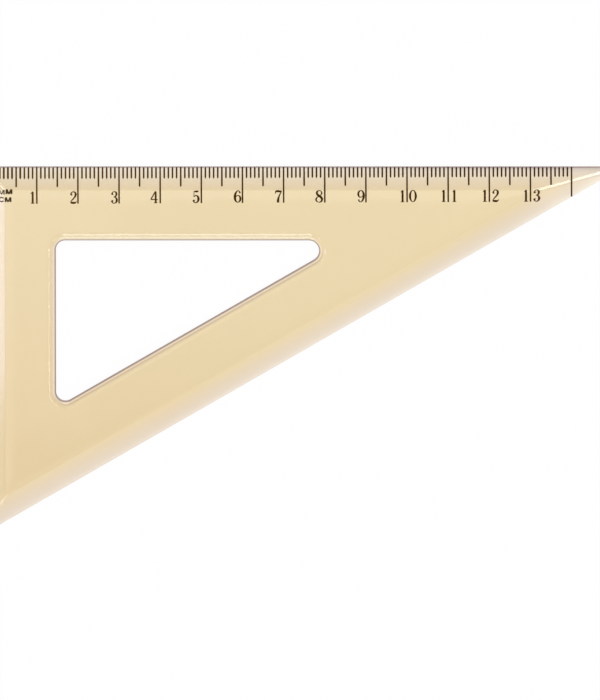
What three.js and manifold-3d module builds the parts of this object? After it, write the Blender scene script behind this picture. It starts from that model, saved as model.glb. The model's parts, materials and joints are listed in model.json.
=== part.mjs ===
// A clear amber drafting triangle, 30-60-90, with three bevelled edges, a triangular cut-out and
// a centimetre scale along its long leg. Lengths are in millimetres. It lies flat, scale up: +X runs
// along the scale to the 30 degree tip, +Y points to the scale edge and +Z up. The origin is on the
// underside, at the middle of the rectangle that the rounded outline fills.

import * as THREE from 'three';
import { mergeGeometries, mergeVertices } from 'three/addons/utils/BufferGeometryUtils.js';
import Module from 'manifold-3d';

const wasm = await Module();
wasm.setup();

// The outline
const longLeg = 156.3;
const tipAngle = THREE.MathUtils.degToRad(30);
const shortLeg = longLeg * Math.tan(tipAngle);
const cornerRadii = [0.5, 0.5, 0.5];

// The section of the moulding
const plateThickness = 2;
const edgeThickness = 0.7;
const bevelWidth = 5.6;

// The cut-out: how far its wall stands from the edges, its corners and its chamfered rim
const borderWidth = 18;
const cutOutRadii = [2.55, 2.3, 2.3];
const rimWidth = 1.1;
const rimDrop = 0.95;

// The scale: places along the edge, lengths from the edge inwards, and the section of a line
const zeroInset = 3.4;
const markPitch = 1;
const markWidth = 0.38;
const centimetreMark = 8.8;
const halfCentimetreMark = 4.75;
const millimetreMark = 2.8;
const clearTip = 12;
const grooveDepth = 0.1;
const inkClearance = 0.02;
const inkSink = 0.02;

// One overrun for everything that cuts, and the turn between two points of a rounded corner
const overrun = 3;
const cornerStep = THREE.MathUtils.degToRad(15);

const scalePattern = { marksPerHalf: 5, marksPerCentimetre: 10 };

const plastic = new THREE.MeshStandardMaterial({
  color: 0xeed8ae,
  roughness: 0.08,
  metalness: 0,
  transparent: true,
  opacity: 0.55,
});
const ink = new THREE.MeshStandardMaterial({ color: 0x2e1d12, roughness: 0.45, metalness: 0 });

// The three corners, anticlockwise from above, each with the direction its side faces before and after
const hypotenuseFacing = tipAngle - Math.PI / 2;
const corners = [
  { x: longLeg / 2, y: shortLeg / 2, from: hypotenuseFacing, to: Math.PI / 2 },
  { x: -longLeg / 2, y: shortLeg / 2, from: Math.PI / 2, to: Math.PI },
  { x: -longLeg / 2, y: -shortLeg / 2, from: Math.PI, to: hypotenuseFacing + 2 * Math.PI },
];

// The outline drawn in by an inset, each corner rounded by its radius: a loop of points at one height
function triangleLoop(inset, radii, height) {
  const loop = [];
  for (const [index, corner] of corners.entries()) {
    const radius = radii[index];
    const sweep = corner.to - corner.from;
    const middle = (corner.from + corner.to) / 2;
    const reach = (inset + radius) / Math.cos(sweep / 2);
    const centreX = corner.x - reach * Math.cos(middle);
    const centreY = corner.y - reach * Math.sin(middle);
    const arc = new THREE.EllipseCurve(centreX, centreY, radius, radius, corner.from, corner.to);
    for (const point of arc.getPoints(Math.round(sweep / cornerStep))) {
      loop.push(new THREE.Vector3(point.x, point.y, height));
    }
  }
  return loop;
}

// A closed skin over loops that all have the same number of points, from the lowest up
function loft(loops) {
  const count = loops[0].length;
  const indices = [];
  for (let level = 1; level < loops.length; level += 1) {
    const lower = (level - 1) * count;
    const upper = level * count;
    for (let i = 0; i < count; i += 1) {
      const next = (i + 1) % count;
      indices.push(lower + i, lower + next, upper + next, lower + i, upper + next, upper + i);
    }
  }
  const top = (loops.length - 1) * count;
  const flat = loops[0].map((point) => new THREE.Vector2(point.x, point.y));
  for (const [a, b, c] of THREE.ShapeUtils.triangulateShape(flat, [])) {
    indices.push(c, b, a, top + a, top + b, top + c);
  }
  const geometry = new THREE.BufferGeometry().setFromPoints(loops.flat());
  geometry.setIndex(indices);
  return geometry;
}

// A closed geometry as a solid that can be joined and cut
function toSolid(geometry) {
  const bare = geometry.clone();
  bare.deleteAttribute('normal');
  bare.deleteAttribute('uv');
  const merged = mergeVertices(bare);
  const mesh = new wasm.Mesh({
    numProp: 3,
    vertProperties: new Float32Array(merged.attributes.position.array),
    triVerts: new Uint32Array(merged.index.array),
  });
  return new wasm.Manifold(mesh);
}

function toGeometry(solid) {
  const mesh = solid.getMesh();
  const geometry = new THREE.BufferGeometry();
  geometry.setAttribute('position', new THREE.BufferAttribute(mesh.vertProperties, 3));
  geometry.setIndex(new THREE.BufferAttribute(mesh.triVerts, 1));
  geometry.computeVertexNormals();
  return geometry;
}

// The moulding without its cut-out and grooves: a thin upright edge, then a bevel that climbs to the
// flat top
function slab() {
  return toSolid(loft([
    triangleLoop(0, cornerRadii, 0),
    triangleLoop(0, cornerRadii, edgeThickness),
    triangleLoop(bevelWidth, cornerRadii, plateThickness),
  ]));
}

// Everything under the top face lowered by a depth, its bevels carried on out past the edges
function underTop(depth) {
  const reach = overrun * 2;
  const fall = reach * (plateThickness - edgeThickness) / bevelWidth;
  return toSolid(loft([
    triangleLoop(-reach, cornerRadii, -reach),
    triangleLoop(-reach, cornerRadii, edgeThickness - fall - depth),
    triangleLoop(bevelWidth, cornerRadii, plateThickness - depth),
  ]));
}

// What the cut-out takes away: an upright wall and a chamfered rim
function cutOutCutter() {
  const level = (cutBack, height) => (
    triangleLoop(borderWidth - cutBack, cutOutRadii.map((radius) => radius + cutBack), height)
  );
  return toSolid(loft([
    level(0, -overrun),
    level(0, plateThickness - rimDrop),
    level(rimWidth, plateThickness),
    level(rimWidth, plateThickness + overrun),
  ]));
}

// The marks of the scale, from zero to the last whole centimetre that leaves the tip clear
function scaleMarks() {
  const { marksPerHalf, marksPerCentimetre } = scalePattern;
  const centimetre = markPitch * marksPerCentimetre;
  const centimetres = Math.floor((longLeg - zeroInset - clearTip) / centimetre);
  const marks = [];
  for (let i = 0; i <= centimetres * marksPerCentimetre; i += 1) {
    const x = zeroInset + i * markPitch - longLeg / 2;
    const number = String(Math.floor(i / marksPerCentimetre)).padStart(2, '0');
    if (i % marksPerCentimetre === 0) {
      marks.push({ x, length: centimetreMark, name: `centimetre_line_${number}` });
    } else if (i % marksPerHalf === 0) {
      marks.push({ x, length: halfCentimetreMark, name: `half_centimetre_line_${number}` });
    } else {
      marks.push({ x, length: millimetreMark, name: null });
    }
  }
  return marks;
}

// An upright block over one mark, narrower and shorter than the mark by a clearance all round
function markBlock(mark, clearance) {
  const width = markWidth - clearance * 2;
  const length = mark.length - clearance;
  const block = new THREE.BoxGeometry(width, length + overrun, plateThickness + overrun);
  block.translate(mark.x, (shortLeg - length + overrun) / 2, (plateThickness + overrun) / 2);
  return block;
}

const body = slab();
const grooveFloor = underTop(grooveDepth);
const marks = scaleMarks();

// Every groove at once: the blocks over the marks, down to the groove floor
const blocks = mergeGeometries(marks.map((mark) => markBlock(mark, 0)));
const grooves = toSolid(blocks).subtract(grooveFloor);

// The model is drawn about the middle of its sharp outline. Its rounded tips reach less far, so it is
// moved until the middle of the rounded outline stands at the origin.
const outline = new THREE.Box3().setFromPoints(triangleLoop(0, cornerRadii, 0));
const part = new THREE.Group();
part.name = 'drafting_triangle';
part.position.sub(outline.getCenter(new THREE.Vector3()));

const plate = new THREE.Mesh(toGeometry(body.subtract(cutOutCutter()).subtract(grooves)), plastic);
plate.name = 'plate';
part.add(plate);

// The ink stands on the floor of its groove and stops just below the face around it
const inkLayer = body.intersect(underTop(inkSink)).subtract(grooveFloor);
for (const mark of marks.filter(({ name }) => name)) {
  const stroke = toSolid(markBlock(mark, inkClearance)).intersect(inkLayer);
  const line = new THREE.Mesh(toGeometry(stroke), ink.clone());
  line.name = mark.name;
  part.add(line);
}

export default part;
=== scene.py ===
import json
import math

import bpy
import numpy as np
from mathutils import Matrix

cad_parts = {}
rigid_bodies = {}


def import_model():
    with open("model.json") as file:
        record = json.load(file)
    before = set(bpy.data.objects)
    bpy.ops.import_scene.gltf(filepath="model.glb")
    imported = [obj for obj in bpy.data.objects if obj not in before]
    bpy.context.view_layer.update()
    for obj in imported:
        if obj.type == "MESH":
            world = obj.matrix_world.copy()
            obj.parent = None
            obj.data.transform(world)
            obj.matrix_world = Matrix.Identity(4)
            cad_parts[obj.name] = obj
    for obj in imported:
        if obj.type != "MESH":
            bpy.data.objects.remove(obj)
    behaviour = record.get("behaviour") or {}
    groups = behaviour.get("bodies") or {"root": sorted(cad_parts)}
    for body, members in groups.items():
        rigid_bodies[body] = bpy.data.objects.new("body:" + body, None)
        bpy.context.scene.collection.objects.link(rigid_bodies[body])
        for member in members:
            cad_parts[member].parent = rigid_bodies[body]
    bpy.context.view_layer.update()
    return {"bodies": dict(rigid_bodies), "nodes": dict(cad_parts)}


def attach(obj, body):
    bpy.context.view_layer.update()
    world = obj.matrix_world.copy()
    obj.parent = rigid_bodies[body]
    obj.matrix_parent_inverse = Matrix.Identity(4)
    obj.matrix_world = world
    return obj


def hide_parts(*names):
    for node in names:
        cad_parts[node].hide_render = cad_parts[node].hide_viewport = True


# Clear amber drafting triangle lying scale up on a white table, seen from almost straight above.
# The shapes below are in millimetres and go into the meshes in metres.
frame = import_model()
millimetre = 0.001
body = next(iter(frame["bodies"]))
print("frame loaded:", len(frame["nodes"]), "solids on", body)


cameraPlan = {
    "aim": (-0.063, -0.087, 0.0),  # mm, the point in the middle of the picture
    "lean": 6.8,                   # degrees off the vertical, towards the scale edge
    "distance": 4.0,               # m, far off, so that uprights hardly spread
    "pictureWidth": 146.07,        # mm seen across the picture at the aim
    "sensorWidth": 36.0,
    "clip": (0.1, 20.0),           # m, the nearest and the farthest that it sees
}


def placeCamera():
    # Back from the aim by the distance, along (0, sin lean, cos lean); lens = sensor * distance / width seen
    lean = math.radians(cameraPlan["lean"])
    aim = np.array(cameraPlan["aim"]) * millimetre
    back = np.array((0.0, math.sin(lean), math.cos(lean)))
    camera = bpy.data.cameras.new("overheadCamera")
    camera.sensor_fit = "HORIZONTAL"
    camera.sensor_width = cameraPlan["sensorWidth"]
    camera.lens = camera.sensor_width * cameraPlan["distance"] / (cameraPlan["pictureWidth"] * millimetre)
    camera.clip_start, camera.clip_end = cameraPlan["clip"]
    stand = bpy.data.objects.new("overheadCamera", camera)
    stand.location = aim + back * cameraPlan["distance"]
    stand.rotation_euler = (-lean, 0.0, 0.0)
    bpy.context.collection.objects.link(stand)
    bpy.context.scene.camera = stand


def addNode(tree, kind, inputs=None, **settings):
    # One node, with its settings and with numbers on the named sockets
    node = tree.nodes.new(kind)
    for name, value in settings.items():
        setattr(node, name, value)
    for socket, value in (inputs or {}).items():
        node.inputs[socket].default_value = value
    return node


def addMath(tree, operation, first, second=None, third=None, clamp=False):
    # One sum on sockets or numbers
    node = addNode(tree, "ShaderNodeMath", operation=operation, use_clamp=clamp)
    for index, value in enumerate((first, second, third)):
        if isinstance(value, bpy.types.NodeSocket):
            tree.links.new(value, node.inputs[index])
        elif value is not None:
            node.inputs[index].default_value = value
    return node.outputs[0]


def addRamp(tree, value, span, ends=(0.0, 1.0), kind="LINEAR"):
    # From the first end to the second while the value crosses the span, and level outside it
    node = addNode(tree, "ShaderNodeMapRange", {
        "From Min": span[0], "From Max": span[1], "To Min": ends[0], "To Max": ends[1],
    }, interpolation_type=kind)
    tree.links.new(value, node.inputs["Value"])
    return node.outputs["Result"]


def newMaterial(name):
    # A material without nodes, and its tree
    material = bpy.data.materials.new(name)
    material.use_nodes = True
    material.node_tree.nodes.clear()
    return material, material.node_tree


# Each softbox: where its middle hangs over the plate and its size, in metres, its radiance, where 1 looks as
# bright as white paper, and where they aren't plain, the shares of its width and height over which it fades
# in from the left, right, low and high rim, and its tint. The overhead box is what the flat shows; the others
# light the bevels, crests, mitres, rims and the flat's left end, and the last three matt surfaces too.
plainLook = {"fade": (0.2, 0.2, 0.2, 0.2), "tint": (1.0, 1.0, 1.0)}
softboxes = {
    "overheadBox": {"place": (-0.02, -0.045, 1.0), "size": (0.30, 0.25), "radiance": 0.8,
                    "fade": (0.2, 0.2, 0.42, 0.3)},
    "topCrestBox": {"place": (-0.01, -0.030, 1.0), "size": (0.24, 0.09), "radiance": 1.0,
                    "fade": (0.1, 0.1, 0.15, 0.2)},
    "leftCrestBox": {"place": (-0.15, -0.12, 1.0), "size": (0.13, 0.15), "radiance": 1.0,
                     "fade": (0.2, 0.22, 0.1, 0.2)},
    "footCrestBox": {"place": (-0.04, -0.205, 1.0), "size": (0.16, 0.08), "radiance": 0.65,
                     "fade": (0.2, 0.2, 0.2, 0.35)},
    "leftBevelBox": {"place": (-0.465, -0.0905, 1.0), "size": (0.37, 0.14), "radiance": 5.5,
                     "fade": (0.1, 0.15, 0.30, 0.2), "tint": (0.68, 0.645, 1.0)},
    "leftMitreBox": {"place": (-0.31, 0.155, 1.0), "size": (0.13, 0.13), "radiance": 6.5},
    "footMitreBox": {"place": (-0.20, -0.37, 1.0), "size": (0.08, 0.08), "radiance": 10.0},
    "rimStrip": {"place": (-0.03, -0.6325, 1.0), "size": (0.12, 0.555), "radiance": 5.0,
                 "fade": (0.1, 0.1, 0.40, 0.10)},
    "slantRimBox": {"place": (-0.18, 0.175, 1.0), "size": (0.22, 0.27), "radiance": 1.2},
    "leftRimBox": {"place": (0.32, -0.11, 1.0), "size": (0.44, 0.20), "radiance": 0.55},
    "leftFlatBox": {"place": (-0.08, -0.108, 1.0), "size": (0.056, 0.10), "radiance": 0.5,
                    "fade": (0.1, 0.3, 0.2, 0.2)},
    "footBevelBox": {"place": (0.144, -0.62, 1.0), "size": (0.14, 0.10), "radiance": 1.4,
                     "fade": (0.1, 0.43, 0.15, 0.15), "tint": (0.4, 0.75, 1.0)},
    "hypotenuseBox": {"place": (0.25, -0.575, 1.0), "size": (0.26, 0.16), "radiance": 0.8,
                      "tint": (1.0, 0.78, 0.22)},
    "ridgeHighBox": {"place": (0.125, 0.17, 1.0), "size": (0.10, 0.20), "radiance": 6.0},
    "ridgeMidBox": {"place": (0.190, 0.01, 1.0), "size": (0.08, 0.16), "radiance": 12.0},
    "ridgeLowBox": {"place": (0.235, -0.14, 1.0), "size": (0.09, 0.18), "radiance": 8.0},
    "tipGlowBox": {"place": (0.367, -0.54, 1.0), "size": (0.12, 0.14), "radiance": 3.7,
                   "fade": (0.35, 0.2, 0.2, 0.2), "tint": (1.0, 0.94, 0.70)},
    "frontBox": {"place": (0.0, -1.20, 0.6), "size": (1.20, 0.60), "radiance": 2.6},
    "rightBox": {"place": (1.20, 0.0, 0.6), "size": (0.60, 1.20), "radiance": 1.2},
    "backBox": {"place": (0.0, 1.20, 0.6), "size": (1.20, 0.60), "radiance": 2.0},
}


def hangSoftbox(name, plan):
    # Aimed back at the middle of the plate; watts = radiance * pi * area; the strength over the face is the
    # product of one smoothstep from each rim
    place = np.array(plan["place"])
    aim = place / np.linalg.norm(place)
    light = bpy.data.lights.new(name, "AREA")
    light.shape = "RECTANGLE"
    light.size, light.size_y = plan["size"]
    light.color = plan["tint"]
    light.energy = plan["radiance"] * math.pi * light.size * light.size_y
    light.use_nodes = True
    tree = light.node_tree
    tree.nodes.clear()
    across = addNode(tree, "ShaderNodeSeparateXYZ")
    tree.links.new(addNode(tree, "ShaderNodeNewGeometry").outputs["Parametric"], across.inputs[0])
    strength = 1.0
    for rim, share in enumerate(plan["fade"]):
        edge = float(rim % 2)
        rise = addRamp(tree, across.outputs[rim // 2], (edge, abs(edge - share)), kind="SMOOTHSTEP")
        strength = addMath(tree, "MULTIPLY", rise, strength)
    glow = addNode(tree, "ShaderNodeEmission")
    tree.links.new(strength, glow.inputs["Strength"])
    tree.links.new(glow.outputs[0], addNode(tree, "ShaderNodeOutputLight").inputs["Surface"])
    box = bpy.data.objects.new(name, light)
    box.location = place
    # Turned about X, then about Y, so that its face looks back at the plate and its sides stay level
    box.rotation_euler = (-math.asin(aim[1]), math.atan2(aim[0], aim[2]), 0.0)
    box.visible_camera = False
    bpy.context.collection.objects.link(box)


def seenRays(tree):
    # 1 for camera, glossy and transmission rays, which show the background, and 0 for light that bounces
    path = addNode(tree, "ShaderNodeLightPath")
    shown = addMath(tree, "MAXIMUM", path.outputs["Is Camera Ray"], path.outputs["Is Glossy Ray"])
    return addMath(tree, "MAXIMUM", shown, path.outputs["Is Transmission Ray"])


roomPlan = {
    "bounceLevel": 0.62,      # what the room gives to matt surfaces
    "horizonLevel": 1.0,      # what glass and gloss see low down
    "zenithLevel": 0.12,      # and straight above, between the lamps
    "dimSpan": (0.35, 0.75),  # heights of the direction, as the sine of its elevation
}


def paintRoom():
    # Level = zenith + (horizon - zenith) * (1 - smoothstep over dimSpan of z) for seen rays, else bounceLevel
    world = bpy.data.worlds.new("paleRoom")
    world.use_nodes = True
    tree = world.node_tree
    tree.nodes.clear()
    direction = addNode(tree, "ShaderNodeTexCoord")
    split = addNode(tree, "ShaderNodeSeparateXYZ")
    pick = addNode(tree, "ShaderNodeMix", {"A": roomPlan["bounceLevel"]}, data_type="FLOAT")
    background = addNode(tree, "ShaderNodeBackground", {"Color": (1.0, 1.0, 1.0, 1.0)})
    output = addNode(tree, "ShaderNodeOutputWorld")
    tree.links.new(direction.outputs["Generated"], split.inputs[0])
    levels = (roomPlan["horizonLevel"], roomPlan["zenithLevel"])
    height = addRamp(tree, split.outputs["Z"], roomPlan["dimSpan"], levels, "SMOOTHSTEP")
    tree.links.new(seenRays(tree), pick.inputs["Factor"])
    tree.links.new(height, pick.inputs["B"])
    tree.links.new(pick.outputs["Result"], background.inputs["Strength"])
    tree.links.new(background.outputs[0], output.inputs["Surface"])
    bpy.context.scene.world = world


tablePlan = {
    "halfSide": 3.0,        # m
    "gap": 0.0001,          # m below the plate, so that the two faces don't share a plane
    "paper": (0.92, 0.92, 0.92, 1.0),
    "glow": 0.95,           # white shown to camera and glass, beside what the lamps light
    "patches": 12,          # faces along each side
}


def layTable():
    # A level grid of points (x, y, -gap) with x and y from -halfSide to halfSide
    side = tablePlan["patches"] + 1
    steps = np.linspace(-tablePlan["halfSide"], tablePlan["halfSide"], side)
    x, y = np.meshgrid(steps, steps)
    points = np.stack((x, y, np.full_like(x, -tablePlan["gap"])), axis=-1).reshape(-1, 3)
    first = (np.arange(side - 1)[:, None] * side + np.arange(side - 1)).reshape(-1)
    faces = np.stack((first, first + 1, first + side + 1, first + side), axis=-1)
    mesh = bpy.data.meshes.new("whiteTable")
    mesh.from_pydata(points.tolist(), [], faces.tolist())
    table = bpy.data.objects.new("whiteTable", mesh)
    bpy.context.collection.objects.link(table)

    paper, tree = newMaterial("whitePaper")
    matt = addNode(tree, "ShaderNodeBsdfDiffuse", {"Color": tablePlan["paper"]})
    glow = addNode(tree, "ShaderNodeEmission", {"Color": (1.0, 1.0, 1.0, 1.0)})
    lit = addNode(tree, "ShaderNodeMixShader")
    clear = addNode(tree, "ShaderNodeBsdfTransparent")
    sides = addNode(tree, "ShaderNodeMixShader")
    behind = addNode(tree, "ShaderNodeNewGeometry")
    output = addNode(tree, "ShaderNodeOutputMaterial")
    # Seen rays get mostly the glow and a little of the lit paper; bounced light gets the paper alone
    tree.links.new(addMath(tree, "MULTIPLY", seenRays(tree), tablePlan["glow"]), lit.inputs[0])
    tree.links.new(matt.outputs[0], lit.inputs[1])
    tree.links.new(glow.outputs[0], lit.inputs[2])
    # From below the table is not there, so that the underside can be looked at
    tree.links.new(behind.outputs["Backfacing"], sides.inputs[0])
    tree.links.new(lit.outputs[0], sides.inputs[1])
    tree.links.new(clear.outputs[0], sides.inputs[2])
    tree.links.new(sides.outputs[0], output.inputs["Surface"])
    mesh.materials.append(paper)


placeCamera()
for boxName, boxPlan in softboxes.items():
    hangSoftbox(boxName, {**plainLook, **boxPlan})
paintRoom()
layTable()
bpy.context.scene.view_settings.view_transform = "Standard"
print("camera, lamps and table placed")


plateShape = {
    "longLeg": 156.3,           # along the scale edge, to the sharp tips
    "tipAngle": 30.0,           # degrees, at the end of the scale
    "cornerRadius": 0.5,
    "edgeThickness": 0.7,
    "topHeight": 1.985,         # under the CAD's 2 mm by the stand of the ink
    "bevelWidth": 5.6,
    "borderWidth": 18.0,
    "cutOutRadii": (2.55, 2.3, 2.3),
    "cutOutShifts": ((-0.104, -0.06), (0.02, -0.06), (0.02, 0.012)),  # of its three corners
    "cutOutRise": (9.0, 15.5),  # insets between which the corners become the cut-out's
    "rimWidth": 1.1,
    "rimDrop": 0.95,
    "mitreWidth": 1.1,          # of the rounding where two bevels meet
    "mitreRise": (0.15, 0.9),   # insets between which the corners become mitres
    "mitreOverrun": 0.6,        # how far past the crest they stay mitres
    "crestSink": 0.029,         # the top droops by this at the crest, to nothing at crestSpan inwards
    "crestSpan": 2.8,
    "arcSteps": 28,             # turns round each corner
    "centringSteps": 60,        # and where only the box of the outline counts
    "straightShares": (0.004, 0.12, 0.3, 0.5, 0.7, 0.88, 0.996),  # where the straights have points
    "support": 0.06,            # rows beside each rounding keep the flats flat
    "faceStart": 0.1,           # the top face counts from this far below the edge's rim
    "faceStop": 2.0,            # to this far short of the cut-out's wall
}

# The ways that the hypotenuse, the scale edge, the short leg and again the hypotenuse face, and from them
# each corner's turn and the way it points: the tip, the upper left and the lower left
legRatio = math.tan(math.radians(plateShape["tipAngle"]))
halfLong = plateShape["longLeg"] / 2
halfShort = halfLong * legRatio
facings = np.radians((plateShape["tipAngle"] - 90.0, 90.0, 180.0, plateShape["tipAngle"] + 270.0))
cornerTurns = np.diff(facings)
cornerMiddles = (facings[:-1] + facings[1:]) / 2
cornerAims = np.stack((np.cos(cornerMiddles), np.sin(cornerMiddles)), axis=-1)
sharpCorners = np.array(((1.0, 1.0), (-1.0, 1.0), (-1.0, -1.0))) * (halfLong, halfShort)


def roundedCorners(corners, inset, radius, steps):
    # Arcs centre + radius * (cos, sin)(turn), with centre = corner - aim * (inset + radius) / cos(half turn)
    reach = (inset[:, None] + radius) / np.cos(cornerTurns / 2)
    centres = corners - reach[..., None] * cornerAims
    turn = facings[:-1, None] + cornerTurns[:, None] * np.linspace(0.0, 1.0, steps + 1)
    spokes = np.stack((np.cos(turn), np.sin(turn)), axis=-1)
    return centres[:, :, None, :] + radius[..., None, None] * spokes


def mitredCorners(corners, inset, width, steps):
    # Loops of the blended inset below: at t across a corner, s = (inset + w/4 + t^2 cos^2 h / w) / sin h
    # inwards from it, for t up to w / (2 cos h) each way, with h half the corner's angle
    half = (math.pi - cornerTurns) / 2
    t = np.linspace(-1.0, 1.0, steps + 1) * (width / 2 / np.cos(half))[:, None]
    s = inset[:, None, None] + width / 4 + t**2 * (np.cos(half) ** 2)[:, None] / width
    s /= np.sin(half)[:, None]
    across = np.stack((-cornerAims[:, 1], cornerAims[:, 0]), axis=-1)
    return corners[:, None, :] - s[..., None] * cornerAims[:, None, :] + t[..., None] * across[:, None, :]


def easeStep(value, low, high):
    # Smoothstep: 3 s^2 - 2 s^3, with s the share of the way from low to high
    share = np.clip((value - low) / (high - low), 0.0, 1.0)
    return share**2 * (3 - 2 * share)


# The model stands with the middle of its rounded outline at the origin
outlineRound = np.full((1, 3), plateShape["cornerRadius"])
outlinePoints = roundedCorners(sharpCorners, np.zeros(1), outlineRound, plateShape["centringSteps"])
outlinePoints = outlinePoints.reshape(-1, 2)
cornerPoints = sharpCorners - (outlinePoints.max(axis=0) + outlinePoints.min(axis=0)) / 2
scaleEdge = cornerPoints[0, 1]


def outlineLoops(inset):
    # The outline drawn in by each inset: three corners joined by straights. A corner is an arc at the edge,
    # eases into the mitre's own curve on the bevel, and into arcs about the cut-out's own centres further in.
    plan = plateShape
    concentric = np.array(plan["cutOutRadii"]) + (plan["borderWidth"] - inset)[:, None]
    grown = easeStep(inset, *plan["cutOutRise"])[:, None]
    radius = plan["cornerRadius"] * (1 - grown) + concentric * grown
    arcs = roundedCorners(cornerPoints, inset, radius, plan["arcSteps"])
    mitres = mitredCorners(cornerPoints, inset, plan["mitreWidth"], plan["arcSteps"])
    crossed = easeStep(inset, plan["bevelWidth"] + plan["mitreOverrun"], plan["cutOutRise"][0])
    ease = easeStep(inset, *plan["mitreRise"]) * (1 - crossed)
    bends = arcs + (mitres - arcs) * ease[:, None, None, None]
    bends = bends + grown[:, :, None, None] * np.array(plan["cutOutShifts"])[:, None, :]
    share = np.array(plan["straightShares"])[:, None]
    start = bends[:, :, -1:, :]
    stop = np.roll(bends[:, :, :1, :], -1, axis=1)
    straights = start * (1.0 - share) + stop * share
    return np.concatenate((bends, straights), axis=2).reshape(len(inset), -1, 2)


# The section from the outer foot up, over the top and down the cut-out's wall: the radius of each knee, the
# steps round it, and the shares of the run after it that get rows of their own
sectionKnees = (
    {"radius": 0.10, "steps": 4, "run": ()},
    {"radius": 0.10, "steps": 5, "run": (0.03, 0.045, 0.06, 0.075, 0.09, 0.11, 0.14, 0.18, 0.24, 0.33,
                                         0.45, 0.58, 0.7, 0.8, 0.89)},
    {"radius": 1.5, "steps": 8, "run": (0.025, 0.05, 0.08, 0.11, 0.15, 0.19, 0.25, 0.4, 0.6, 0.8)},
    {"radius": 2.6, "steps": 16, "run": (0.74, 0.78, 0.81, 0.84, 0.87, 0.89)},
    {"radius": 0.12, "steps": 6, "run": ()},
    {"radius": 0.10, "steps": 4, "run": (0.2, 0.5, 0.8)},
)


def plateSection():
    # Closed section (inset, height): at each knee, points centre - r * right-hand normal(theta) with theta
    # from the way in to the way out, a support row before and after, and the rows of the run that follows
    plan = plateShape
    top = plan["topHeight"]
    knees = np.array((
        (0.0, 0.0), (0.0, plan["edgeThickness"]), (plan["bevelWidth"], top),
        (plan["borderWidth"] - plan["rimWidth"], top), (plan["borderWidth"], top - plan["rimDrop"]),
        (plan["borderWidth"], 0.0),
    ))
    rows = []
    for knee, before, after, given in zip(
        knees, np.roll(knees, 1, axis=0), np.roll(knees, -1, axis=0), sectionKnees
    ):
        wayIn = (knee - before) / np.linalg.norm(knee - before)
        wayOut = (after - knee) / np.linalg.norm(after - knee)
        angleIn = math.atan2(wayIn[1], wayIn[0])
        turn = (angleIn - math.atan2(wayOut[1], wayOut[0])) % (2 * math.pi)
        tangent = given["radius"] * math.tan(turn / 2)
        share = np.linspace(0.0, 1.0, given["steps"] + 1)
        theta = angleIn - turn * share
        centre = knee - wayIn * tangent + given["radius"] * np.array((wayIn[1], -wayIn[0]))
        arc = centre - given["radius"] * np.stack((np.sin(theta), -np.cos(theta)), axis=-1)
        early = knee - wayIn * (tangent + plan["support"])
        late = knee + wayOut * (tangent + plan["support"])
        run = np.array(given["run"]).reshape(-1, 1)
        rows.append(np.vstack((early, arc, late, knee + (after - knee) * run)))
    rows = np.vstack(rows)
    # Droop = sink * (1 - (inset - crest) / span)^2 inside the crest, and on the bevel in step with its height
    inside = 1.0 - np.clip((rows[:, 0] - plan["bevelWidth"]) / plan["crestSpan"], 0.0, 1.0)
    climb = np.clip((rows[:, 1] - plan["edgeThickness"]) / (top - plan["edgeThickness"]), 0.0, 1.0)
    rows[:, 1] -= plan["crestSink"] * inside**2 * climb
    return rows


section = plateSection()
isTop = (section[:, 1] > plateShape["edgeThickness"] - plateShape["faceStart"]) & (
    section[:, 0] < plateShape["borderWidth"] - plateShape["faceStop"])
topFace = section[isTop]
topFace = topFace[np.argsort(topFace[:, 0], kind="stable")]


def insetOf(x, y):
    # Distances to the three sides; of each two, the lesser, or where they differ by less than w the blend
    # (a + b) / 2 - (w^2 + (a - b)^2) / (4 w); the inset is the least of the three results
    width = plateShape["mitreWidth"]
    sides = [
        (cornerX - x) * math.cos(facing) + (cornerY - y) * math.sin(facing)
        for (cornerX, cornerY), facing in zip(cornerPoints, facings)
    ]
    blends = []
    for a, b in ((0, 1), (1, 2), (2, 0)):
        gap = np.minimum(np.abs(sides[a] - sides[b]), width)
        blend = (sides[a] + sides[b]) / 2 - (width**2 + gap**2) / (4 * width)
        lesser = np.minimum(sides[a], sides[b])
        blends.append(np.where(gap < width, blend, lesser))
    return np.minimum.reduce(blends)


def faceHeight(x, y):
    # Height of the top face over (x, y): the section's height at the inset there
    return np.interp(insetOf(x, y), *topFace.T)


def gridFaces(rows, columns, closedRows):
    # Quad (i, j), (i, j+1), (i+1, j+1), (i+1, j), columns always wrapped round
    i = np.arange(rows if closedRows else rows - 1)[:, None]
    j = np.arange(columns)[None, :]
    nextI = (i + 1) % rows
    nextJ = (j + 1) % columns
    quads = (i * columns + j, i * columns + nextJ, nextI * columns + nextJ, nextI * columns + j)
    return np.stack([np.broadcast_to(q, (i.size, j.size)) for q in quads], axis=-1).reshape(-1, 4)


def addPiece(name, points, faces, material, replaced=None):
    # A smooth mesh of its own, its points brought from millimetres to metres, that rides on the body
    mesh = bpy.data.meshes.new(name)
    mesh.from_pydata((points * millimetre).tolist(), [], faces)
    mesh.polygons.foreach_set("use_smooth", np.ones(len(mesh.polygons), dtype=bool))
    mesh.materials.append(material)
    mesh.update()
    piece = bpy.data.objects.new(name, mesh)
    bpy.context.collection.objects.link(piece)
    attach(piece, body)
    if replaced:
        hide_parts(replaced)
    return piece


def newGroup(name, inputs, outputs):
    # A node group with its sockets, and its two ends
    group = bpy.data.node_groups.new(name, "ShaderNodeTree")
    for socket, kind, value in inputs:
        made = group.interface.new_socket(name=socket, in_out="INPUT", socket_type=kind)
        if value is not None:
            made.default_value = value
    for socket, kind in outputs:
        group.interface.new_socket(name=socket, in_out="OUTPUT", socket_type=kind)
    return group, group.nodes.new("NodeGroupInput"), group.nodes.new("NodeGroupOutput")


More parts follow.
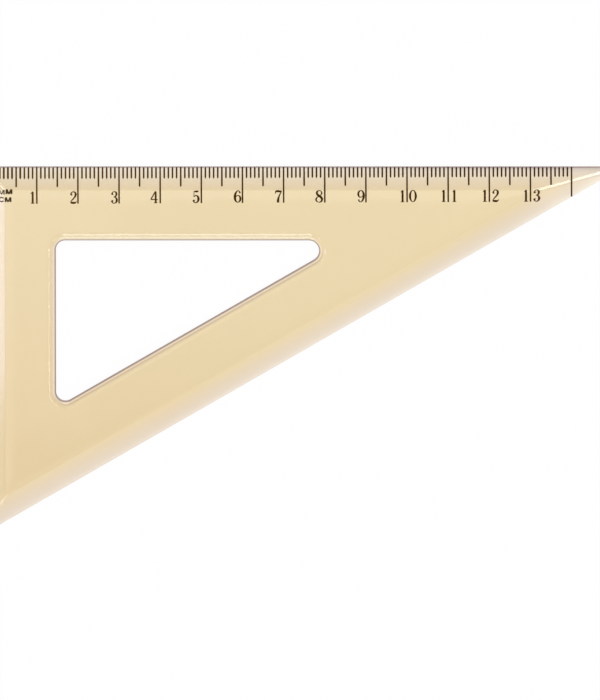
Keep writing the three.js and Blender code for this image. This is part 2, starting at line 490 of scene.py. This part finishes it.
handlingPlan = {
    "smudgeSpan": (0.45, 0.75),   # of the soft noise, from clean to smudged
    "scratchTurns": (0.35, 1.9),  # radians, the two ways that scratches run
    "scratchStretch": 0.05,       # of their noise along its own X
    "scratchWidth": 0.012,        # of its ridges
    "patchScale": 90.0,
    "patchSpan": (0.56, 0.68),    # of the patchy noise, from bare to scratched
}


def buildHandling():
    # Marks of use: smudges = ramp of a soft noise; scratches = ridges of a long stretched noise, kept where a
    # second noise is high
    plan = handlingPlan
    group, given, made = newGroup(
        "handlingMarks",
        [("Vector", "NodeSocketVector", None), ("Smudge Scale", "NodeSocketFloat", 40.0),
         ("Scratch Scale", "NodeSocketFloat", 260.0)],
        [("Smudges", "NodeSocketFloat"), ("Scratches", "NodeSocketFloat")],
    )
    soft = addNode(group, "ShaderNodeTexNoise", {"Detail": 3.0, "Roughness": 0.55, "Distortion": 0.6})
    group.links.new(given.outputs["Vector"], soft.inputs["Vector"])
    group.links.new(given.outputs["Smudge Scale"], soft.inputs["Scale"])
    group.links.new(addRamp(group, soft.outputs[0], plan["smudgeSpan"]), made.inputs["Smudges"])
    lines = []
    for turn in plan["scratchTurns"]:
        lay = addNode(group, "ShaderNodeMapping", {
            "Rotation": (0.0, 0.0, turn), "Scale": (plan["scratchStretch"], 1.0, 1.0)})
        grain = addNode(group, "ShaderNodeTexNoise", {"Detail": 1.0, "Roughness": 0.4})
        group.links.new(given.outputs["Vector"], lay.inputs["Vector"])
        group.links.new(lay.outputs[0], grain.inputs["Vector"])
        group.links.new(given.outputs["Scratch Scale"], grain.inputs["Scale"])
        ridge = addMath(group, "ABSOLUTE", addMath(group, "SUBTRACT", grain.outputs[0], 0.5))
        lines.append(addRamp(group, ridge, (0.0, plan["scratchWidth"]), (1.0, 0.0)))
    patch = addNode(group, "ShaderNodeTexNoise", {"Scale": plan["patchScale"], "Detail": 2.0})
    group.links.new(given.outputs["Vector"], patch.inputs["Vector"])
    kept = addRamp(group, patch.outputs[0], plan["patchSpan"])
    both = addMath(group, "MAXIMUM", *lines)
    group.links.new(addMath(group, "MULTIPLY", both, kept), made.inputs["Scratches"])
    return group


def buildDrift():
    # How far a colour has drifted over the part: a straight ramp along a direction plus a broad, faint noise
    group, given, made = newGroup(
        "toneDrift",
        [("Vector", "NodeSocketVector", None), ("Direction", "NodeSocketVector", (0.0, 1.0, 0.0)),
         ("From", "NodeSocketFloat", -0.04), ("To", "NodeSocketFloat", 0.04),
         ("Noise Scale", "NodeSocketFloat", 30.0), ("Noise Amount", "NodeSocketFloat", 0.15)],
        [("Drift", "NodeSocketFloat")],
    )
    along = addNode(group, "ShaderNodeVectorMath", operation="DOT_PRODUCT")
    ramp = addNode(group, "ShaderNodeMapRange", interpolation_type="SMOOTHSTEP")
    cloud = addNode(group, "ShaderNodeTexNoise", {"Detail": 2.0, "Roughness": 0.5})
    group.links.new(given.outputs["Vector"], along.inputs[0])
    group.links.new(given.outputs["Direction"], along.inputs[1])
    group.links.new(along.outputs["Value"], ramp.inputs["Value"])
    group.links.new(given.outputs["From"], ramp.inputs["From Min"])
    group.links.new(given.outputs["To"], ramp.inputs["From Max"])
    group.links.new(given.outputs["Vector"], cloud.inputs["Vector"])
    group.links.new(given.outputs["Noise Scale"], cloud.inputs["Scale"])
    around = addMath(group, "SUBTRACT", cloud.outputs[0], 0.5)
    swing = addMath(group, "MULTIPLY", around, given.outputs["Noise Amount"])
    group.links.new(addMath(group, "ADD", ramp.outputs["Result"], swing, clamp=True), made.inputs["Drift"])
    return group


handlingMarks = buildHandling()
toneDrift = buildDrift()


def placeGroup(tree, group, vector, values):
    # One use of a group, with its own values
    node = addNode(tree, "ShaderNodeGroup", values, node_tree=group)
    tree.links.new(vector, node.inputs["Vector"])
    return node


def mixColour(tree, factor, first, second, blend="MIX"):
    # Sockets or numbers on the colour mix's factor and its two colours
    node = addNode(tree, "ShaderNodeMix", data_type="RGBA", blend_type=blend)
    for index, value in ((0, factor), (6, first), (7, second)):
        if isinstance(value, bpy.types.NodeSocket):
            tree.links.new(value, node.inputs[index])
        else:
            node.inputs[index].default_value = value
    return node.outputs[2]


amberFinish = {
    "clear": (0.974, 0.981, 0.982, 1.0),
    "tired": (0.950, 0.917, 0.889, 1.0),  # the tone that it drifts to at the lower left corner
    "drift": {"Direction": (-0.55, -0.83, 0.0), "From": -0.005, "To": 0.075, "Noise Scale": 26.0,
              "Noise Amount": 0.25},
    # What dullness does to the colour, which is painted shade: a pale purplish shade first, for the shaded
    # bevels and rim creases, then the dark painted shade along the upright walls, which draws their outlines
    "paintedShadeStops": ((0.0, (1.0, 1.0, 1.0, 1.0)), (0.2, (0.90, 0.835, 0.92, 1.0)),
                  (1.0, (0.165, 0.110, 0.155, 1.0))),
    "marks": {"Smudge Scale": 55.0, "Scratch Scale": 420.0},
    "roughness": 0.03,
    "smudgeRoughness": 0.02,
    "scratchRoughness": 0.10,
    "wallRoughness": 0.32,
    "scuffed": 0.6,          # how much of the wall's roughness the underside has
    "scuffHeight": 0.00002,  # m, and up to what height
    "swellScale": 60.0,
    "scratchCut": -0.02,
    "relief": {"Strength": 0.12, "Distance": 0.0004},
    "ior": 1.49,
    "bodyColour": (0.845, 0.637, 0.129, 1.0),
    "bodyDensity": 460.0,    # per metre
    "lampTint": (0.97, 0.90, 0.72, 1.0),  # what the plate lets through to the table
}


def makeAmberPlastic():
    # Clear plastic with a volume colour. Its base colour = the drifting tone * the ramp of the dullness,
    # which paints shade on the bevels, creases and walls.
    plan = amberFinish
    material, tree = newMaterial("amberPlastic")
    place = addNode(tree, "ShaderNodeTexCoord").outputs["Object"]
    drift = placeGroup(tree, toneDrift, place, plan["drift"])
    marks = placeGroup(tree, handlingMarks, place, plan["marks"])
    # The dullness attribute: painted shade in the colour, through the ramp below, and the walls' roughness
    wall = addNode(tree, "ShaderNodeAttribute", attribute_name="dullnessAndPaintedShade").outputs["Fac"]
    tone = mixColour(tree, drift.outputs["Drift"], plan["clear"], plan["tired"])
    shadeRamp = addNode(tree, "ShaderNodeValToRGB")
    stops = shadeRamp.color_ramp.elements
    for position, _ in plan["paintedShadeStops"][1:-1]:
        stops.new(position)
    for stop, (_, shade) in zip(stops, plan["paintedShadeStops"]):
        stop.color = shade
    tree.links.new(wall, shadeRamp.inputs[0])
    colour = mixColour(tree, 1.0, tone, shadeRamp.outputs[0], "MULTIPLY")

    # Roughness = polished + smudges + scratches, and from there to the wall's own by the square of the
    # dullness and, on the underside, by how far the table has scuffed it
    smudges, scratches = (marks.outputs[name] for name in ("Smudges", "Scratches"))
    polished = addMath(tree, "MULTIPLY_ADD", smudges, plan["smudgeRoughness"], plan["roughness"])
    scratched = addMath(tree, "MULTIPLY_ADD", scratches, plan["scratchRoughness"], polished)
    height = addNode(tree, "ShaderNodeSeparateXYZ")
    tree.links.new(place, height.inputs[0])
    under = addMath(tree, "LESS_THAN", height.outputs[2], plan["scuffHeight"])
    dull = addMath(tree, "MULTIPLY_ADD", wall, wall, addMath(tree, "MULTIPLY", under, plan["scuffed"]))
    rough = addNode(tree, "ShaderNodeMix", {"B": plan["wallRoughness"]}, data_type="FLOAT")
    tree.links.new(dull, rough.inputs["Factor"])
    tree.links.new(scratched, rough.inputs["A"])

    # Moulded faces are never quite flat: a broad swell, and the scratches cut in
    swell = addNode(tree, "ShaderNodeTexNoise", {"Scale": plan["swellScale"], "Detail": 1.0})
    tree.links.new(place, swell.inputs["Vector"])
    cut = addMath(tree, "MULTIPLY_ADD", scratches, plan["scratchCut"], swell.outputs[0])
    relief = addNode(tree, "ShaderNodeBump", plan["relief"])
    tree.links.new(cut, relief.inputs["Height"])

    plastic = addNode(tree, "ShaderNodeBsdfPrincipled", {
        "Metallic": 0.0, "IOR": plan["ior"], "Transmission Weight": 1.0})
    tree.links.new(colour, plastic.inputs["Base Color"])
    tree.links.new(rough.outputs[0], plastic.inputs["Roughness"])
    tree.links.new(relief.outputs[0], plastic.inputs["Normal"])

    # Lamps shine through the plate with its tint instead of being blocked by it
    path = addNode(tree, "ShaderNodeLightPath")
    passing = addNode(tree, "ShaderNodeBsdfTransparent", {"Color": plan["lampTint"]})
    surface = addNode(tree, "ShaderNodeMixShader")
    tree.links.new(path.outputs["Is Shadow Ray"], surface.inputs[0])
    tree.links.new(plastic.outputs[0], surface.inputs[1])
    tree.links.new(passing.outputs[0], surface.inputs[2])
    depth = addNode(tree, "ShaderNodeVolumeAbsorption", {
        "Color": plan["bodyColour"], "Density": plan["bodyDensity"]})
    output = addNode(tree, "ShaderNodeOutputMaterial")
    tree.links.new(surface.outputs[0], output.inputs["Surface"])
    tree.links.new(depth.outputs[0], output.inputs["Volume"])
    return material


inkFinish = {
    "scaleInk": {"dark": (0.050, 0.019, 0.0005, 1.0), "thin": (0.090, 0.040, 0.003, 1.0)},
    "unitInk": {"dark": (0.050, 0.024, 0.006, 1.0), "thin": (0.070, 0.040, 0.014, 1.0)},
    "drift": {"Direction": (-1.0, 0.0, 0.0), "From": -0.02, "To": 0.09, "Noise Scale": 900.0,
              "Noise Amount": 0.7},
    "marks": {"Smudge Scale": 700.0, "Scratch Scale": 420.0},
    "roughness": 0.10,
    "smudgeRoughness": 0.12,
    "grainScale": 5000.0,
    "relief": {"Strength": 0.08, "Distance": 0.00001},
    "gloss": {"IOR": 1.49, "Specular IOR Level": 0.02},
}


def makeInk(name):
    # Colour runs from dark to thin with a patchy noise and with the drift towards the start of the scale
    plan = inkFinish
    material, tree = newMaterial(name)
    place = addNode(tree, "ShaderNodeTexCoord").outputs["Object"]
    drift = placeGroup(tree, toneDrift, place, plan["drift"])
    marks = placeGroup(tree, handlingMarks, place, plan["marks"])
    colour = mixColour(tree, drift.outputs["Drift"], plan[name]["dark"], plan[name]["thin"])
    smudges = marks.outputs["Smudges"]
    rough = addMath(tree, "MULTIPLY_ADD", smudges, plan["smudgeRoughness"], plan["roughness"])
    grain = addNode(tree, "ShaderNodeTexNoise", {"Scale": plan["grainScale"], "Detail": 2.0})
    tree.links.new(place, grain.inputs["Vector"])
    relief = addNode(tree, "ShaderNodeBump", plan["relief"])
    tree.links.new(grain.outputs[0], relief.inputs["Height"])
    ink = addNode(tree, "ShaderNodeBsdfPrincipled", {"Metallic": 0.0, **plan["gloss"]})
    tree.links.new(colour, ink.inputs["Base Color"])
    tree.links.new(rough, ink.inputs["Roughness"])
    tree.links.new(relief.outputs[0], ink.inputs["Normal"])
    output = addNode(tree, "ShaderNodeOutputMaterial")
    tree.links.new(ink.outputs[0], output.inputs["Surface"])
    return material


amberPlastic = makeAmberPlastic()
scaleInk = makeInk("scaleInk")
unitInk = makeInk("unitInk")
print("finishes made")


# How dull the upper faces are at each inset from the scale edge, the short leg and the hypotenuse; in the
# colour this is painted shade: dark outlines at the walls and edges, darker rim creases and faintly shaded
# bevels
shadeAndDullBands = (
    ((0.0, 0.65), (0.13, 1.0), (0.28, 1.0), (0.41, 0.24), (0.7, 0.10), (1.5, 0.10), (2.8, 0.11), (3.2, 0.15),
     (5.0, 0.13), (5.8, 0.0), (17.62, 0.0), (17.78, 0.9), (18.0, 1.0)),
    ((0.0, 0.25), (0.16, 0.12), (1.5, 0.08), (4.5, 0.0), (6.0, 0.0), (16.5, 0.0), (16.9, 0.12), (17.15, 0.20),
     (17.6, 0.22), (17.78, 1.0), (18.0, 1.0)),
    ((0.0, 0.20), (0.16, 0.16), (0.5, 0.21), (1.2, 0.27), (2.0, 0.25), (2.9, 0.22), (3.9, 0.15), (4.7, 0.07),
     (5.2, 0.0), (16.72, 0.0), (17.0, 0.36), (17.11, 0.51), (17.23, 0.45), (17.36, 0.22), (17.56, 0.16),
     (17.76, 1.0), (18.0, 1.0)),
)
# What is added to the dullness beside the scale edge, darker and rougher there, by the inset, along the scale
# and past its last line
edgeDarkeningPlan = {
    "edge": ((0.26, 0.0), (0.31, 0.50), (0.37, 0.50), (0.45, 0.38), (0.55, 0.37), (0.75, 0.34), (1.0, 0.20),
             (1.24, 0.11), (1.5, 0.08), (2.0, 0.03), (2.8, 0.0)),
    "edgeRamp": (-8.0, 48.0),  # x between which it grows along the scale
    "tip": ((0.30, 0.0), (0.44, 0.46), (0.9, 0.38), (1.4, 0.20), (2.0, 0.10), (3.0, 0.0)),
    "tipFrom": 66.2,           # x where the edge's wear gives way to the tip's
    "tipBlend": 0.5,           # over this much each way
    "sideSlack": 0.02,         # by which another side may be nearer
    "footFade": 0.1,           # height over which dullness sets in above the underside
}


def buildPlate():
    # The section carried round the outline, closed both ways: point (v, u) = (loop of inset e(v) at u, z(v))
    loops = outlineLoops(section[:, 0])
    heights = np.broadcast_to(section[:, 1, None, None], loops.shape[:2] + (1,))
    points = np.concatenate((loops, heights), axis=-1).reshape(-1, 3)
    faces = gridFaces(loops.shape[0], loops.shape[1], True).tolist()
    plate = addPiece("plateBody", points, faces, amberPlastic, "plate")
    # Dullness, which is painted shade in the colour and roughness in the finish, = the side's band at the
    # row's inset, passing from side to side round each corner, and none on the underside
    turn = np.linspace(0.0, 1.0, plateShape["arcSteps"] + 1)
    flat = np.ones(loops.shape[1] // 3 - turn.size)
    bands = np.stack([np.interp(section[:, 0], *np.array(band).T) for band in shadeAndDullBands])
    passing = np.concatenate((turn, flat))[None, :, None]
    around = np.roll(bands, 1, axis=0)[:, None, :] * (1 - passing) + bands[:, None, :] * passing
    upper = np.clip(section[:, 1] / edgeDarkeningPlan["footFade"], 0.0, 1.0)
    dullness = around.reshape(-1, len(section)).T * upper[:, None]
    # The added darkness grows along the scale and changes past its last line, only where the scale edge is
    # the nearest
    x = loops[..., 0]
    nearest = scaleEdge - loops[..., 1] < section[:, :1] + edgeDarkeningPlan["sideSlack"]
    past = easeStep(x, edgeDarkeningPlan["tipFrom"] - edgeDarkeningPlan["tipBlend"], edgeDarkeningPlan["tipFrom"] + edgeDarkeningPlan["tipBlend"])
    atTip, along = (
        np.interp(section[:, 0], *np.array(edgeDarkeningPlan[part]).T, right=0.0)[:, None] for part in ("tip", "edge"))
    edgeDarkening = atTip * past + along * (1 - past) * easeStep(x, *edgeDarkeningPlan["edgeRamp"])
    dullness = dullness + edgeDarkening * upper[:, None] * nearest
    # Kept on the points for the material, which paints shade in the colour from it
    dull = plate.data.attributes.new("dullnessAndPaintedShade", "FLOAT", "POINT")
    dull.data.foreach_set("value", dullness.reshape(-1).astype(np.float32))


buildPlate()
print("plate built")


inkFilm = {
    "stand": 0.015,         # over the face around it
    "sink": 0.05,           # into the plate
    "squareness": 0.45,     # power on the sine and cosine of the bead's ring; 1 is an ellipse
    "endFilm": 0.15,        # share of the film that is left at the very ends
    "evenShare": 0.55,      # how much of the spacing along a stroke is even
    "crowdedShare": 0.45,   # and how much is closer towards both ends
}


def smoothPath(knots, samples):
    # Catmull-Rom through the knots (x, y, width): in u between p1 and p2 the curve is
    # p1 + u (p2-p0)/2 + u^2 (p0 - 5/2 p1 + 2 p2 - p3/2) + u^3 (3 (p1-p2) + p3 - p0)/2
    ends = np.vstack((2 * knots[0] - knots[1], knots, 2 * knots[-1] - knots[-2]))
    place = np.linspace(0.0, len(knots) - 1.0, samples)
    start = np.minimum(place.astype(int), len(knots) - 2)
    u = (place - start)[:, None]
    p0, p1, p2, p3 = (ends[start + shift] for shift in range(4))
    return (p1 + u * (p2 - p0) / 2 + u**2 * (p0 - 2.5 * p1 + 2 * p2 - p3 / 2)
            + u**3 * (3 * (p1 - p2) + p3 - p0) / 2)


def stationShares(stations):
    # Shares of a length from 0 to 1: even ones mixed with (1 - cos(pi even)) / 2, which crowd at both ends
    even = np.linspace(0.0, 1.0, stations)
    return inkFilm["evenShare"] * even + inkFilm["crowdedShare"] * (0.5 - 0.5 * np.cos(math.pi * even))


def evenStations(curve, stations):
    # The curve's points at those shares of its length
    step = np.concatenate(((0.0,), np.cumsum(np.hypot(*np.diff(curve[:, :2], axis=0).T))))
    places = stationShares(stations) * step[-1]
    return np.stack([np.interp(places, step, column) for column in curve.T], axis=-1)


def inkBeads(paths, ring, endRound):
    # paths is (beads, stations, 3) of x, y, width. Ring point = path + left normal * half * C(phi), height =
    # face + film * S(phi), with C and S the cosine and sine to the squareness power; half and film shrink
    # to a pole over the last endRound of each end as sqrt(1 - (1 - d / endRound)^2)
    centre = paths[..., :2]
    along = np.gradient(centre, axis=1)
    along /= np.linalg.norm(along, axis=-1, keepdims=True)
    left = np.stack((-along[..., 1], along[..., 0]), axis=-1)
    step = np.linalg.norm(np.diff(centre, axis=1), axis=-1)
    run = np.concatenate((np.zeros((len(paths), 1)), np.cumsum(step, axis=1)), axis=1)
    toEnd = np.minimum(run, run[:, -1:] - run)
    near = np.clip(toEnd / endRound, 0.0, 1.0)
    shrink = np.sqrt(1.0 - (1.0 - near) ** 2)
    half = paths[..., 2] / 2 * shrink
    phi = np.arange(ring) * 2 * math.pi / ring
    squareCos = np.sign(np.cos(phi)) * np.abs(np.cos(phi)) ** inkFilm["squareness"]
    squareSin = np.sign(np.sin(phi)) * np.abs(np.sin(phi)) ** inkFilm["squareness"]
    flat = centre[:, :, None, :] + left[:, :, None, :] * half[:, :, None, None] * squareCos[:, None]
    film = np.where(squareSin > 0, inkFilm["stand"], inkFilm["sink"]) * squareSin
    fullness = np.minimum(shrink + inkFilm["endFilm"], 1.0)
    height = faceHeight(flat[..., 0], flat[..., 1]) + film * fullness[..., None]
    rings = np.concatenate((flat, height[..., None]), axis=-1)

    beads, stations = paths.shape[:2]
    sides = rings[:, 1:-1].reshape(beads, -1, 3)
    poles = np.stack((rings[:, 0].mean(axis=1), rings[:, -1].mean(axis=1)), axis=1)
    points = np.concatenate((sides, poles), axis=1)
    quads = gridFaces(stations - 2, ring, False)
    here = np.arange(ring)
    then = (here + 1) % ring
    lastRing = (stations - 3) * ring
    head = np.stack((np.full(ring, sides.shape[1]), then, here), axis=-1)
    tail = np.stack((np.full(ring, sides.shape[1] + 1), lastRing + here, lastRing + then), axis=-1)
    caps = np.concatenate((head, tail))
    offset = (np.arange(beads) * points.shape[1])[:, None, None]
    faces = (quads + offset).reshape(-1, 4).tolist() + (caps + offset).reshape(-1, 3).tolist()
    return points.reshape(-1, 3), faces


scalePrint = {
    "zeroInset": 3.4,         # of the zero line from the short leg
    "centimetres": 14,
    "centimetre": {"length": 8.8, "width": 0.39, "stations": 48, "ring": 12},
    "halfCentimetre": {"length": 4.75, "width": 0.41, "stations": 20, "ring": 12},
    "millimetre": {"length": 2.88, "width": 0.41, "stations": 7, "ring": 8},
    "heavyStart": (7, 0.07),  # millimetre lines before this one are heavier, and by how much
    "endRound": 0.05,
    "edgeGap": 0.04,          # of every line from the edge
    "slant": 0.0042,          # the print stands askew: lines lean, and shorten along the edge, by this
    "slantMiddle": -3.8,      # where their lengths are as given
}


def scaleLines(x, length, width, stations):
    # Straight paths down from the edge: y = edge - gap - share * (length - gap), held short of the
    # hypotenuse, and x grows by the slant with the way down. The width is a number, or one for each line.
    plan = scalePrint
    reach = length - plan["slant"] * (x - plan["slantMiddle"])
    room = (cornerPoints[0, 0] - x) * legRatio - plan["edgeGap"]
    reach = np.minimum(reach, room)
    y = scaleEdge - plan["edgeGap"] - stationShares(stations) * (reach[:, None] - plan["edgeGap"])
    leaning = x[:, None] + plan["slant"] * (scaleEdge - y)
    return np.stack((leaning, y, np.broadcast_to(np.reshape(width, (-1, 1)), y.shape)), axis=-1)


def linePlace(millimetres):
    # x = the short leg + the zero line's inset + the millimetres of the scale
    return cornerPoints[1, 0] + scalePrint["zeroInset"] + np.asarray(millimetres, dtype=float)


def inkLines(name, kind, millimetres, replaced=None, extra=0.0):
    # One piece with a line of the given kind at each of the millimetres
    line = scalePrint[kind]
    paths = scaleLines(linePlace(millimetres), line["length"], line["width"] + extra, line["stations"])
    points, faces = inkBeads(paths, line["ring"], scalePrint["endRound"])
    addPiece(name, points, faces, scaleInk, replaced)


def buildLines():
    # A whole centimetre every 10 mm, a half one 5 mm later, and the millimetres between them in one piece
    centimetres = scalePrint["centimetres"]
    for number in range(centimetres + 1):
        inkLines(f"centimetreInk{number:02d}", "centimetre", [10 * number], f"centimetre_line_{number:02d}")
    for number in range(centimetres):
        inkLines(f"halfCentimetreInk{number:02d}", "halfCentimetre", [10 * number + 5],
                 f"half_centimetre_line_{number:02d}")
    count = np.arange(10 * centimetres)
    count = count[count % 5 > 0]
    heavyCount, extra = scalePrint["heavyStart"]
    inkLines("millimetreInk", "millimetre", count, extra=extra * (count < heavyCount))


buildLines()
print("lines of the scale drawn")


# Numerals as pen strokes: each knot is x and y from the middle of the foot, and the width there, all in
# hundredths of a millimetre. Upright strokes are heavy, level ones fine, and loose ends swell to a ball.
digitHeight = 290
digitStrokes = {
    "0": [[(0, 283, 12), (-36, 262, 22), (-64, 200, 36), (-69, 145, 40), (-64, 90, 36), (-36, 28, 22),
           (0, 7, 12), (36, 28, 22), (64, 90, 36), (69, 145, 40), (64, 200, 36), (36, 262, 22),
           (0, 283, 12), (-10, 280, 12)]],
    "1": [[(-44, 236, 10), (-24, 246, 14), (-5, 266, 20), (3, 286, 24)],
          [(5, 284, 34), (5, 190, 37), (5, 100, 37), (5, 6, 37)],
          [(-42, 6, 11), (-12, 8, 14), (22, 8, 14), (52, 6, 11)]],
    "2": [[(-60, 192, 28), (-52, 210, 40), (-57, 236, 22), (-34, 270, 17), (5, 282, 17), (44, 260, 28),
           (56, 218, 36), (38, 166, 28), (-2, 116, 21), (-44, 70, 17), (-72, 26, 15)],
          [(-74, 15, 18), (-44, 19, 32), (-6, 19, 37), (30, 18, 33), (54, 26, 20), (66, 44, 13),
           (74, 66, 9)]],
    "3": [[(-62, 204, 26), (-54, 224, 38), (-52, 250, 18), (-30, 274, 14), (2, 282, 14), (38, 262, 26),
           (48, 224, 33), (33, 180, 25), (0, 158, 15), (-24, 154, 12)],
          [(-24, 154, 12), (10, 152, 16), (42, 126, 27), (56, 82, 36), (43, 36, 27), (6, 9, 15),
           (-32, 11, 15), (-58, 36, 22), (-57, 60, 40), (-65, 78, 26)]],
    "4": [[(36, 284, 22), (36, 190, 28), (36, 100, 28), (36, 6, 28)],
          [(30, 280, 14), (-6, 218, 17), (-46, 146, 18), (-82, 88, 18)],
          [(-86, 84, 16), (-30, 84, 16), (30, 84, 16), (84, 84, 14)],
          [(-6, 6, 12), (20, 8, 15), (52, 8, 15), (78, 6, 12)]],
    "5": [[(-50, 280, 10), (-20, 272, 22), (16, 270, 28), (50, 282, 18), (62, 290, 8)],
          [(-50, 278, 12), (-52, 230, 11), (-54, 185, 11), (-55, 144, 13)],
          [(-54, 142, 12), (-28, 168, 15), (2, 176, 17), (41, 152, 28), (57, 96, 36), (43, 38, 27),
           (4, 8, 15), (-34, 11, 15), (-60, 36, 22), (-58, 58, 38), (-66, 76, 26)]],
    "6": [[(56, 216, 22), (54, 232, 30), (46, 258, 18), (24, 278, 14), (2, 280, 14), (-38, 242, 26),
           (-62, 180, 36), (-67, 125, 38), (-60, 72, 34), (-34, 22, 22), (0, 7, 13), (36, 22, 22),
           (62, 58, 30), (67, 96, 33), (54, 142, 26), (16, 170, 14), (-20, 158, 13), (-50, 120, 12)]],
    "7": [[(-74, 212, 12), (-72, 234, 14), (-68, 260, 16), (-66, 280, 12)],
          [(-70, 260, 18), (-42, 270, 28), (-6, 269, 30), (30, 266, 26), (58, 270, 20), (78, 278, 14)],
          [(76, 274, 14), (50, 226, 15), (22, 170, 18), (2, 116, 25), (-9, 62, 33), (-11, 16, 33),
           (-12, -5, 24)]],
    "8": [[(52, 250, 16), (28, 276, 14), (0, 283, 14), (-40, 262, 28), (-52, 224, 36), (-34, 184, 38),
           (6, 152, 40), (46, 116, 40), (62, 72, 38), (42, 26, 26), (0, 7, 13), (-30, 14, 14)],
          [(-26, 12, 13), (-58, 36, 24), (-68, 74, 28), (-50, 118, 20), (-12, 146, 14), (26, 172, 14),
           (50, 202, 22), (54, 234, 24), (44, 262, 16)]],
}
# A nine is a six turned round its own middle
digitStrokes["9"] = [
    [(-x, digitHeight - y, width) for x, y, width in stroke] for stroke in digitStrokes["6"]]

letterStrokes = {
    "M": [[(-60, 0, 32), (-60, 40, 32), (-60, 80, 32), (-60, 120, 32)],
          [(-50, 118, 26), (-33, 80, 24), (-17, 40, 24), (0, 2, 24)],
          [(0, 2, 24), (17, 40, 24), (33, 80, 24), (50, 118, 26)],
          [(60, 0, 32), (60, 40, 32), (60, 80, 32), (60, 120, 32)]],
    "C": [[(56, 86, 28), (32, 106, 28), (2, 112, 28), (-34, 98, 30), (-50, 62, 32), (-36, 26, 30),
           (0, 10, 28), (32, 16, 28), (56, 36, 28)]],
}

numeralPlan = {
    "tall": 1.03,           # times the heights drawn above
    # Times the breadth and the pen widths drawn above
    "shapes": {"0": (1.0, 1.36), "1": (1.0, 1.36), "2": (1.0, 1.48), "3": (1.0, 1.58), "4": (1.0, 1.65),
               "5": (1.0, 1.68), "6": (1.0, 1.62), "7": (1.0, 1.76), "8": (1.12, 1.46), "9": (1.0, 1.50)},
    # From the scale edge to the foot of each numeral: the print is askew
    "feet": {1: 8.96, 2: 8.96, 3: 8.93, 4: 8.82, 5: 8.79, 6: 8.70, 7: 8.70, 8: 8.69, 9: 8.65, 10: 8.60,
             11: 8.54, 12: 8.51, 13: 8.51},
    # How far the middle of each single numeral stands before its line
    "singles": {1: 1.02, 2: 1.07, 3: 1.09, 4: 1.43, 5: 1.24, 6: 1.15, 7: 1.22, 8: 1.33, 9: 1.17},
    "tens": -1.11,          # the two figures of the others stand on both sides of theirs
    "units": {10: 1.45, 11: 1.48, 12: 1.54, 13: 1.58},
}
# Each letter with its middle from the short leg, its foot from the scale edge and the weight of its pen
unitPlan = {
    "millimetreWord": (("M", 4.84, 6.77, 0.98), ("M", 6.67, 6.65, 1.53)),
    "centimetreWord": (("C", 4.80, 8.58, 1.0), ("M", 6.45, 8.60, 1.38)),
}
penPlan = {
    "perMillimetre": 100,   # how many units of the knots make a millimetre
    "samples": 160,         # worked out along each stroke, before its stations are spread
    "stations": 30,
    "ring": 10,
    "numeralRound": 0.09,
    "letterRound": 0.05,
}


def strokePaths(strokes, atX, atY, scale):
    # Even stations along each stroke, times the scale of breadth, height and pen width, moved to (atX, atY)
    paths = []
    for stroke in strokes:
        curve = smoothPath(np.array(stroke) / penPlan["perMillimetre"], penPlan["samples"])
        paths.append(evenStations(curve, penPlan["stations"]))
    return np.stack(paths) * scale + (atX, atY, 0.0)


def buildNumerals():
    # One piece for each numeral: its figures stand before the line, or on both sides of it
    plan = numeralPlan
    for number in range(1, scalePrint["centimetres"]):
        line = linePlace(10 * number)
        foot = scaleEdge - plan["feet"][number]
        if number < 10:
            places = [line - plan["singles"][number]]
        else:
            places = [line + plan["tens"], line + plan["units"][number]]
        paths = []
        for digit, x in zip(str(number), places):
            broad, weight = plan["shapes"][digit]
            paths.append(strokePaths(digitStrokes[digit], x, foot, (broad, plan["tall"], weight)))
        points, faces = inkBeads(np.concatenate(paths), penPlan["ring"], penPlan["numeralRound"])
        addPiece(f"numeral{number:02d}", points, faces, scaleInk)


def buildUnitWords():
    # One piece for each word, its letters at their own middles and feet
    for name, letters in unitPlan.items():
        paths = np.concatenate([
            strokePaths(letterStrokes[letter], cornerPoints[1, 0] + x, scaleEdge - foot, (1.0, 1.0, pen))
            for letter, x, foot, pen in letters
        ])
        points, faces = inkBeads(paths, penPlan["ring"], penPlan["letterRound"])
        addPiece(name, points, faces, unitInk)


buildNumerals()
buildUnitWords()
print("numerals and units drawn")
